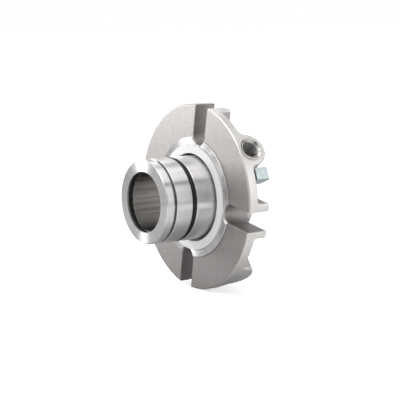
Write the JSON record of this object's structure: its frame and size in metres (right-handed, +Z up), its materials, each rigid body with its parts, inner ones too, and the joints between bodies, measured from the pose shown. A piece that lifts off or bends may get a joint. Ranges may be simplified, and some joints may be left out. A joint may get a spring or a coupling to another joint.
{
  "type": "cartridge mechanical seal",
  "caption": "Cartridge mechanical seal for a pump shaft: slotted cast gland with flush port, gasket, turning seal head on a sleeve, lock collar and setting clips.",
  "frame": {"origin": "on the shaft axis, in the plane of the gland's cast front face", "axes": "+Y along the shaft axis from the pump side to the air side, +Z up in use on a level shaft"},
  "size_m": [0.14, 0.0806, 0.14],
  "materials": {
    "cast_steel": "cast stainless steel, blasted",
    "turned_steel": "turned stainless steel",
    "gasket_white": "flat fibre and polymer gasket",
    "black_rubber": "moulded rubber ring",
    "clip_zinc": "zinc plated steel, pale blue",
    "carbon": "lapped carbon",
    "carbide": "lapped silicon carbide",
    "bush_polymer": "filled polymer bush",
    "screw_steel": "stainless screws, pins, rings and springs"
  },
  "bodies": {
    "gland_unit": {"gland": "cast_steel", "gland_gasket": "gasket_white", "stationary_face": "carbide", "stationary_o_ring": "black_rubber", "anti_rotation_pins": "screw_steel", "throttle_bush": "bush_polymer", "bush_ring": "screw_steel", "clip_screws": "screw_steel"},
    "shaft_unit": {"shaft_sleeve": "turned_steel", "shaft_o_ring": "black_rubber", "drive_pins": "screw_steel", "lock_collar": "turned_steel", "collar_screws": "screw_steel", "sleeve_ring": "screw_steel", "face_springs": "screw_steel"},
    "seal_head": {"head_retainer": "turned_steel", "cushion_o_ring": "black_rubber", "face_carrier": "turned_steel", "carrier_pins": "screw_steel", "sleeve_o_ring": "black_rubber", "rotary_face": "carbon"},
    "clip_1": {"setting_clip_1": "clip_zinc"},
    "clip_2": {"setting_clip_2": "clip_zinc"},
    "clip_3": {"setting_clip_3": "clip_zinc"},
    "clip_4": {"setting_clip_4": "clip_zinc"}
  },
  "joints": [
    {"name": "shaft_turn", "type": "hinge", "parent": "gland_unit", "child": "shaft_unit", "pos_m": [0, 0, 0], "axis": [0, 1, 0], "continuous": true},
    {"name": "face_slide", "type": "slide", "parent": "shaft_unit", "child": "seal_head", "axis": [0, -1, 0], "range_m": [0, 0.0013], "stiffness_N_per_m": 12000, "springref_m": -0.005, "deforming": ["face_springs"]},
    {"name": "clip_1_swing", "type": "hinge", "parent": "gland_unit", "child": "clip_1", "pos_m": [0.03774, 0.0205, 0.01602], "axis": [0, 1, 0], "range_deg": [-100, 100]},
    {"name": "clip_2_swing", "type": "hinge", "parent": "gland_unit", "child": "clip_2", "pos_m": [-0.01602, 0.0205, 0.03774], "axis": [0, 1, 0], "range_deg": [-100, 100]},
    {"name": "clip_3_swing", "type": "hinge", "parent": "gland_unit", "child": "clip_3", "pos_m": [-0.03774, 0.0205, -0.01602], "axis": [0, 1, 0], "range_deg": [-100, 100]},
    {"name": "clip_4_swing", "type": "hinge", "parent": "gland_unit", "child": "clip_4", "pos_m": [0.01602, 0.0205, -0.03774], "axis": [0, 1, 0], "range_deg": [-100, 100]}
  ]
}
